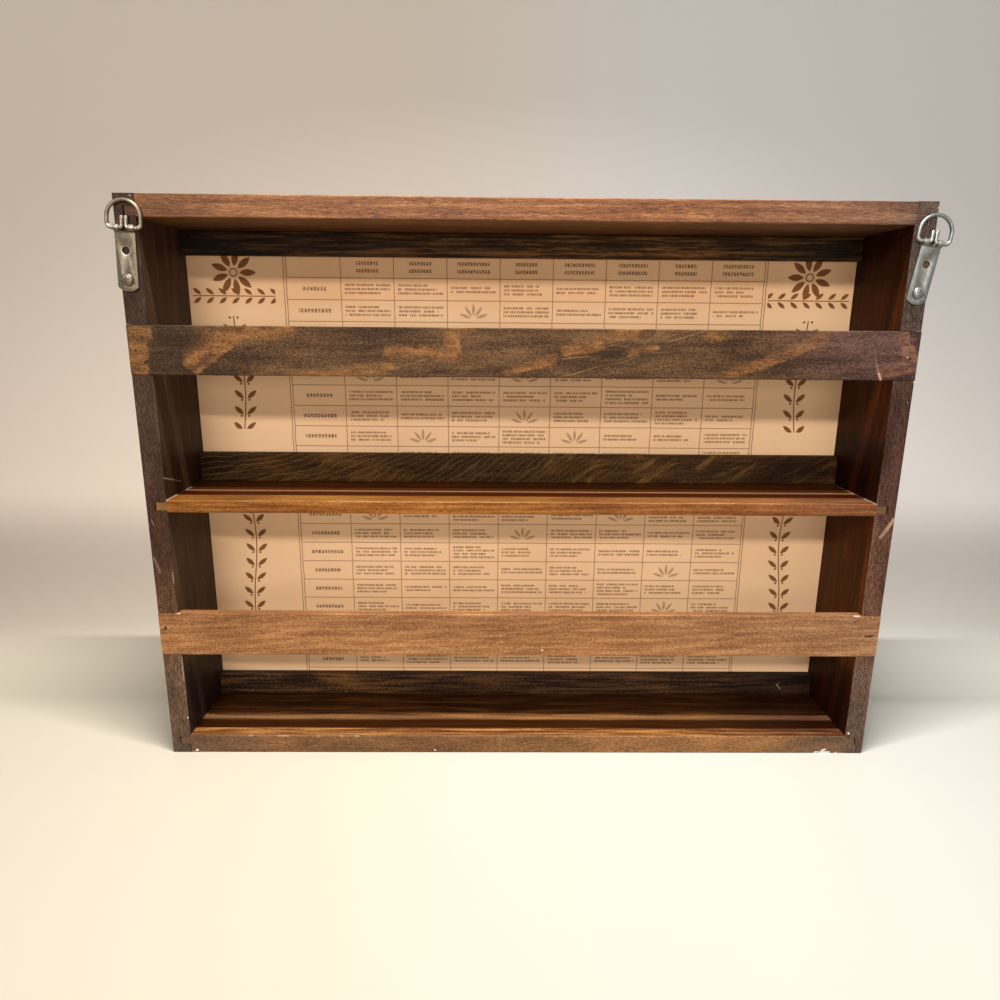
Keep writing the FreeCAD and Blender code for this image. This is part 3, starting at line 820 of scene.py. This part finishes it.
def printedChart(look):  # a ruled table with sprigs, and no lettering
    material, place = startMaterial("printedChart")
    x, y, z = place.parts()
    flat = x.joined(z)
    waver = flat.scaled((0.05, 0.09, 1.0)).noise() - 0.5
    rules, column, row = tableRules(look, x, z, waver)
    inTable = x.between(look["first"], look["right"]) * z.below(look["head"])
    marks = cellMarks(look, x, column, row) * inTable
    words = rowNames(look, x, z, row).most(columnHeads(look, x, z, column))
    grain = place.scaled((1.6, 1.6, 1.6)).noise(detail=3, rough=0.7)
    cloud = flat.scaled((0.012, 0.012, 1.0)).noise()
    foxed = (cloud * 0.6 + grain * 0.25).stepped(0.25, 0.75)
    # the paper is darker near the top: painted shade under the top board
    paper = tintedAlong(z, foxed.blend(look["paper"], look["foxed"]),
                        [(288, 304, (0.93, 0.87, 0.82))])
    taken = grain * 0.35 + 0.62  # how much ink the paper took
    paper = paper.painted(look["ink"], ((rules * 0.85).most(marks * 0.9) * taken).clamped())
    paper = paper.painted(look["darkInk"], (words * 0.9 * (taken + 0.2)).clamped())
    leaves = marginSprigs(look, x, z) * (taken + 0.15)
    return finishMaterial(material, place, {
        "Base Color": paper.painted(look["leafInk"], leaves.clamped()),
        "Roughness": grain * 0.1 + 0.62, "Specular IOR Level": 0.1}, grain, 0.03)


wear("chart_sheet", printedChart(chartLook))
print("chart printed")

hangerSizes = {  # metres
    "sheet": 0.00075, "plyGap": 0.0001,
    "hole": 0.0023, "upperHole": 0.0122, "screwHole": 0.0282,
    "wire": 0.0011, "play": 0.00008, "ringWidth": 0.0212, "ringHeight": 0.0163,
    "ringCorner": 0.0026, "prongGap": 0.0025, "prong": 0.0064, "prongBend": 0.0014,
    "rest": 0.0001, "wireSides": 20, "bendSteps": 6, "cornerSteps": 8, "bowSteps": 16,
    "softEdge": 0.00014,
}
hangerSizes["knuckle"] = hangerSizes["wire"] + hangerSizes["play"] + hangerSizes["sheet"]

zincLook = {  # millimetres
    # the warmer left plate and the greyer right one paint what each reflected
    "left": ((88, 77, 62), (114, 102, 84), (139, 128, 110)),
    "right": ((95, 95, 90), (125, 124, 118), (149, 148, 140)), "places": (0.3, 0.5, 0.75),
    "seeds": {"left": 2.0, "right": 8.0}, "grime": (70, 62, 54),
    "rim": (176, 166, 152), "rimWide": 0.55, "foldFoot": (-1.2, 0.6), "foldTop": (2.2, 1.4),
}


def zincPlate(side, look, place, sizes):  # painted highlights at the hole's rim and the fold
    material, spot = startMaterial(side + "HangerZinc")
    x, y, z = spot.parts()
    seed = look["seeds"][side]
    cloud = spot.scaled((0.35,) * 3, (seed, 0, 0)).noise(detail=3, rough=0.6)
    dull = spot.scaled((1.3,) * 3, (0, seed, 0)).noise(detail=3, rough=0.7)
    pit = spot.scaled((3.0,) * 3, (0, 0, seed)).noise(detail=2, rough=0.6)
    grime = pit.stepped(0.62, 0.74) * 0.4
    colour = (cloud * 0.6 + dull * 0.4).ramped(look[side], look["places"])
    colour = colour.painted(look["grime"], grime)
    hole = place @ Vector((0, 0, -sizes["upperHole"])) / toMetres
    off = distance(x - hole.x, z - hole.z) - sizes["hole"] / toMetres
    rim = off.near(0, look["rimWide"] * 0.4, look["rimWide"]) * 0.8
    bar = place.translation / toMetres
    up = place.to_3x3().col[2]
    height = (x - bar.x) * up.x + (z - bar.z) * up.z
    fold = height.stepped(*look["foldFoot"]) * height.stepped(*look["foldTop"])
    # painted highlights on the hole's rim and along the fold
    paintedHighlights = rim.most(fold * dull.stepped(0.3, 0.55) * 0.7)
    return finishMaterial(material, spot, {
        "Base Color": colour.painted(look["rim"], paintedHighlights), "Metallic": 0.9 - grime * 0.5,
        "Roughness": dull * 0.25 + 0.27}, pit * 0.4 + dull * 0.6, 0.02)


def addPiece(name, bm, degrees, material, body, replaced):
    piece = placed(name, meshFrom(name, smoothShaded(bm, degrees)))
    piece.data.materials.append(material)
    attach(piece, body)
    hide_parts(replaced)
    return piece


def hangerPlace(joint):  # its X along the bar, its Z up the strap
    across = Vector(joint["axis"])
    up = Vector((-across.z, 0, across.x))
    turn = Matrix((across, Vector((0, 1, 0)), up)).transposed().to_4x4()
    return Matrix.Translation(Vector(joint["pos_m"])) @ turn


def edgesOf(geom):
    return [item for item in geom if isinstance(item, bmesh.types.BMEdge)]


def vertsOf(geom):
    return [item for item in geom if isinstance(item, bmesh.types.BMVert)]


def drawnOut(bm, edges, move):
    geom = bmesh.ops.extrude_edge_only(bm, edges=edges)["geom"]
    bmesh.ops.translate(bm, verts=vertsOf(geom), vec=move)
    return geom


def wireRing(sizes):
    bm = bmesh.new()
    wire, bend, corner = sizes["wire"], sizes["prongBend"], sizes["ringCorner"]
    bow = sizes["ringWidth"] / 2 - wire
    bowTop = sizes["ringHeight"] - wire
    half = sizes["prongGap"] / 2
    made = bmesh.ops.create_circle(bm, cap_ends=False, radius=wire,
                                   segments=sizes["wireSides"],
                                   matrix=Matrix.Translation((half, 0, sizes["prong"])))
    run = list({edge for vert in made["verts"] for edge in vert.link_edges})

    def swing(edges, centre, steps):  # a quarter turn round a bend
        return edgesOf(bmesh.ops.spin(bm, geom=edges, cent=centre, axis=(0, 1, 0), steps=steps,
                                      angle=radians(-90), use_merge=False)["geom_last"])

    dome = drawnOut(bm, run, (0, 0, wire * 0.18))
    bmesh.ops.scale(bm, verts=vertsOf(dome), vec=(0.8, 0.8, 1.0),
                    space=Matrix.Translation((-half, 0, 0)))
    bmesh.ops.contextual_create(bm, geom=edgesOf(dome))
    run = edgesOf(drawnOut(bm, run, (0, 0, bend - sizes["prong"])))
    run = swing(run, (half + bend, 0, bend), sizes["bendSteps"])
    run = edgesOf(drawnOut(bm, run, (bow - corner - half - bend, 0, 0)))
    run = swing(run, (bow - corner, 0, corner), sizes["cornerSteps"])
    run = edgesOf(drawnOut(bm, run, (0, 0, bowTop - bow - corner)))
    swing(run, (0, 0, bowTop - bow), sizes["bowSteps"])
    bmesh.ops.mirror(bm, geom=bm.verts[:] + bm.edges[:] + bm.faces[:], axis="X",
                     merge_dist=1e-6)
    closed(bm, 1e-6)
    lean = asin((sizes["knuckle"] - wire - sizes["rest"]) / bowTop)
    bmesh.ops.rotate(bm, verts=bm.verts[:], cent=(0, 0, 0),
                     matrix=Matrix.Rotation(-lean, 3, "X"))
    return bm


def foldedStrap(side, sizes):  # the solid, with a small round on its edges
    bm = bmesh.new()
    bm.from_mesh(nodes[side + "_hanger_strap"].data)
    bmesh.ops.remove_doubles(bm, verts=bm.verts[:], dist=2e-6)
    bmesh.ops.dissolve_limit(bm, angle_limit=radians(0.5), verts=bm.verts[:],
                             edges=bm.edges[:])
    bmesh.ops.bevel(bm, geom=edgesOver(bm, 40), offset=sizes["softEdge"],
                    offset_type="OFFSET", affect="EDGES", segments=2, profile=0.5,
                    material=-1, clamp_overlap=True)
    return bm


screwSizes = {
    "shank": 0.0017, "length": 0.012, "point": 0.003, "head": 0.00345, "height": 0.0021,
    "rim": 0.0007, "chamfer": 0.0001, "slot": 0.0009, "slotReach": 0.0017,
    "slotDepth": 0.0009, "domeSteps": 8, "flatness": 0.8, "steps": 40,
}


def closed(bm, gap):  # merged, with its normals outward
    bmesh.ops.remove_doubles(bm, verts=bm.verts[:], dist=gap)
    bmesh.ops.recalc_face_normals(bm, faces=bm.faces[:])


def turnedSolid(profile, steps):  # profile of radius and height, turned about Z
    bm = bmesh.new()
    verts = [bm.verts.new((radius, 0, height)) for radius, height in profile]
    edges = [bm.edges.new(pair) for pair in zip(verts, verts[1:])]
    bmesh.ops.spin(bm, geom=verts + edges, cent=(0, 0, 0), axis=(0, 0, 1), steps=steps,
                   angle=tau, use_merge=True)
    closed(bm, 1e-7)
    return bm


def domedScrew(sizes):
    head, height, rim = sizes["head"], sizes["height"], sizes["rim"]
    profile = [(0, -sizes["length"]), (sizes["shank"], sizes["point"] - sizes["length"]),
               (sizes["shank"], 0), (head - sizes["chamfer"], 0), (head, sizes["chamfer"])]
    for step in range(sizes["domeSteps"]):
        angle = radians(90 * step / sizes["domeSteps"])
        profile.append((head * cos(angle) ** sizes["flatness"],
                        rim + (height - rim) * sin(angle)))
    return turnedSolid(profile + [(0, height)], sizes["steps"])


def cutRecess(piece, sizes, place):  # cross recess in the head
    cutter = bmesh.new()
    for spread in ((sizes["slotReach"] * 2, sizes["slot"]),
                   (sizes["slot"], sizes["slotReach"] * 2)):
        made = bmesh.ops.create_cube(cutter, size=1.0)["verts"]
        bmesh.ops.scale(cutter, verts=made, vec=(*spread, sizes["slotDepth"] * 2))
        bmesh.ops.translate(cutter, verts=made, vec=(0, 0, sizes["height"]))
    bmesh.ops.transform(cutter, verts=cutter.verts[:], matrix=place)
    tool = placed("recessCutter", meshFrom("recessCutter", cutter))
    cut = piece.modifiers.new("recess", "BOOLEAN")
    cut.operation, cut.object, cut.solver, cut.use_self = "DIFFERENCE", tool, "EXACT", True
    bpy.context.view_layer.update()
    shape = piece.evaluated_get(bpy.context.evaluated_depsgraph_get())
    finished = bpy.data.meshes.new_from_object(shape)
    bm = bmesh.new()
    bm.from_mesh(finished)
    smoothShaded(bm, 35).to_mesh(finished)
    bm.free()
    piece.modifiers.clear()
    piece.data = finished
    bpy.data.objects.remove(tool)


joints = {joint["name"]: joint for joint in frame["joints"]}
seat = hangerSizes["knuckle"] - 2 * hangerSizes["sheet"] - hangerSizes["plyGap"]
facingFront = Matrix.Rotation(radians(90), 4, "X")
for side in ("left", "right"):
    place = hangerPlace(joints[side + "_ring_swing"])
    zinc = zincPlate(side, zincLook, place, hangerSizes)
    ring = wireRing(hangerSizes)
    bmesh.ops.transform(ring, verts=ring.verts[:], matrix=place)
    addPiece(side + "RingWire", ring, 50, zinc, side + "_ring",
             side + "_hanger_ring")
    addPiece(side + "FoldedStrap", foldedStrap(side, hangerSizes), 30, zinc, "case",
             side + "_hanger_strap")
    seated = place @ Matrix.Translation((0, seat, -hangerSizes["screwHole"])) @ facingFront
    screw = domedScrew(screwSizes)
    bmesh.ops.transform(screw, verts=screw.verts[:], matrix=seated)
    piece = addPiece(side + "DomedScrew", screw, 35, zinc, "case",
                     side + "_hanger_screw")
    cutRecess(piece, screwSizes, seated)
print("hangers made")

bradSizes = {"head": 0.00122, "thick": 0.0005, "shank": 0.00065, "point": 0.0016,
             "dome": 0.0001, "steps": 20}


def bradSteel():
    material, place = startMaterial("bradSteel")
    spot = place.noise(scale=1.4, detail=3, rough=0.7)
    colour = spot.ramped(((34, 24, 18), (70, 54, 42), (128, 112, 96)), (0.3, 0.55, 0.8))
    return finishMaterial(material, place, {
        "Base Color": colour, "Metallic": spot * 0.3 + 0.5,
        "Roughness": spot * 0.3 + 0.4}, spot, 0.04)


def looseSolids(bm):  # the places of each loose solid's corners
    left = set(bm.verts)
    for start in bm.verts:
        found = [start] if start in left else []
        left.discard(start)
        for vert in found:  # found grows as its neighbours join it
            near = [edge.other_vert(vert) for edge in vert.link_edges]
            near = [other for other in near if other in left]
            found += near
            left.difference_update(near)
        if found:
            yield [vert.co.copy() for vert in found]


def turnedBrad(spots, sizes):  # along the longest side of the old one's box
    low, high = [Vector([pick(spot[turn] for spot in spots) for turn in range(3)])
                 for pick in (min, max)]
    middle, spans = (low + high) / 2, high - low
    length = max(spans)
    way = list(spans).index(length)

    def offAxis(spot):
        miss = spot - middle
        miss[way] = 0
        return miss.length

    toTip = Vector((0, 0, 0))
    toTip[way] = 1 if min(spots, key=offAxis)[way] > middle[way] else -1
    brad = turnedSolid([
        (0, -length), (sizes["shank"], sizes["point"] - length),
        (sizes["shank"], -sizes["thick"]), (sizes["head"], -sizes["thick"]),
        (sizes["head"], -sizes["dome"]), (sizes["head"] * 0.6, 0), (0, 0)], sizes["steps"])
    face = toTip.to_track_quat("-Z", "Y").to_matrix().to_4x4()
    crown = Matrix.Translation(middle - toTip * (length / 2))
    bmesh.ops.transform(brad, verts=brad.verts[:], matrix=crown @ face)
    return brad


def bradGroup(name, node, sizes, material):
    source = bmesh.new()
    source.from_mesh(nodes[node].data)
    bmesh.ops.remove_doubles(source, verts=source.verts[:], dist=2e-6)
    group = bmesh.new()
    for spots in looseSolids(source):
        brad = meshFrom("oneBrad", turnedBrad(spots, sizes))
        group.from_mesh(brad)
        bpy.data.meshes.remove(brad)
    source.free()
    addPiece(name, group, 30, material, "case", node)


steel = bradSteel()
for where, part in (("upper", "rail"), ("lower", "rail"), ("left", "side"), ("right", "side"),
                    ("back", "panel")):
    bradGroup(where + part.title() + "Brads", f"{where}_{part}_brads", bradSizes, steel)
print("brads driven")

stageLook = {
    "floorFront": fromScreen(197, 187, 167), "floorBack": fromScreen(181, 167, 150),
    "wallFoot": fromScreen(229, 212, 193), "wallTop": fromScreen(223, 209, 192),
    "cool": [(-200, 300, (1.03, 1.12, 1.28))],  # millimetres, as in the material
    "reach": 6.0, "wallGap": 0.25, "curve": 0.5, "curveSteps": 16,
}


def sweepPaint(look):  # painted cooler light on the right half, and painted shade as the floor nears the wall
    material, place = startMaterial("sweepPaint")
    x, y, height = place.parts()
    floor = y.stepped(90, 210).blend(look["floorFront"], look["floorBack"])
    wall = height.stepped(130, 480).blend(look["wallFoot"], look["wallTop"])
    paint = tintedAlong(x, height.stepped(2, 60).blend(floor, wall), look["cool"])
    return finishMaterial(material, place, {"Base Color": paint, "Roughness": 0.85})


def makeStage(look):  # floor, curve and wall in one sheet
    bm = bmesh.new()
    reach = look["reach"]
    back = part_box("back_panel")[1].y + look["wallGap"]
    ends = [bm.verts.new((x, -reach, 0)) for x in (-reach, reach)]
    floor = drawnOut(bm, [bm.edges.new(ends)], (0, reach + back, 0))
    moved = vertsOf(floor)
    edge = [item for item in edgesOf(floor) if all(vert in moved for vert in item.verts)]
    curve = bmesh.ops.spin(bm, geom=edge, cent=(0, back, look["curve"]), axis=(1, 0, 0),
                           steps=look["curveSteps"], angle=radians(90),
                           use_merge=False)["geom_last"]
    drawnOut(bm, edgesOf(curve), (0, 0, reach))
    bmesh.ops.recalc_face_normals(bm, faces=bm.faces[:])
    sweep = placed("sweep", meshFrom("sweep", smoothShaded(bm, 180)))
    sweep.data.materials.append(sweepPaint(look))


lamps = {  # level is what a white card facing it shows
    "frontStrip": {"from": (-0.55, -2.16, 1.38), "to": (0, 0, 0.17), "wide": 1.5, "high": 0.05,
                   "spread": 180, "level": 0.6},
    "overheadStrip": {"from": (0.0, -0.18, 0.98), "to": (0, -0.03, 0.17), "wide": 0.34,
                      "high": 0.016, "spread": 120, "level": 0.9},
    "fillLamp": {"from": (0.15, -2.3, 0.16), "to": (0, 0, 0.17), "wide": 1.8, "high": 1.2,
                 "spread": 180, "level": 0.42},
}
roomLook = {"light": 0.06, "seen": 1.0}  # a dim room that looks pale


def makeLamp(name, look):
    light = bpy.data.lights.new(name, "AREA")
    light.shape = "RECTANGLE"
    light.size, light.size_y = look["wide"], look["high"]
    light.spread = radians(look["spread"])
    aim = Vector(look["to"]) - Vector(look["from"])
    light.energy = look["level"] * (pi * aim.length) ** 2
    placed(name, light).matrix_world = (Matrix.Translation(look["from"])
                                        @ aim.to_track_quat("-Z", "Y").to_matrix().to_4x4())


def makeWorld(look):
    world = bpy.data.worlds.new("room")
    world.use_nodes = True
    tree = world.node_tree
    tree.nodes.clear()
    path = tree.nodes.new("ShaderNodeLightPath")
    camera, glossy, through = [Flow(tree, path.outputs["Is " + ray + " Ray"])
                               for ray in ("Camera", "Glossy", "Transmission")]
    seen = (camera + glossy + through).clamped()
    room, pale = [seen.node("ShaderNodeBackground", {}, {"Color": (1, 1, 1, 1),
                                                         "Strength": look[name]})
                  for name in ("light", "seen")]
    mixed = seen.node("ShaderNodeMixShader", {}, {0: seen, 1: room, 2: pale})
    output = tree.nodes.new("ShaderNodeOutputWorld")
    tree.links.new(mixed.socket, output.inputs["Surface"])
    bpy.context.scene.world = world


makeStage(stageLook)
for name, look in lamps.items():
    makeLamp(name, look)
makeWorld(roomLook)
bpy.context.scene.view_settings.view_transform = "Standard"
print("stage lit")
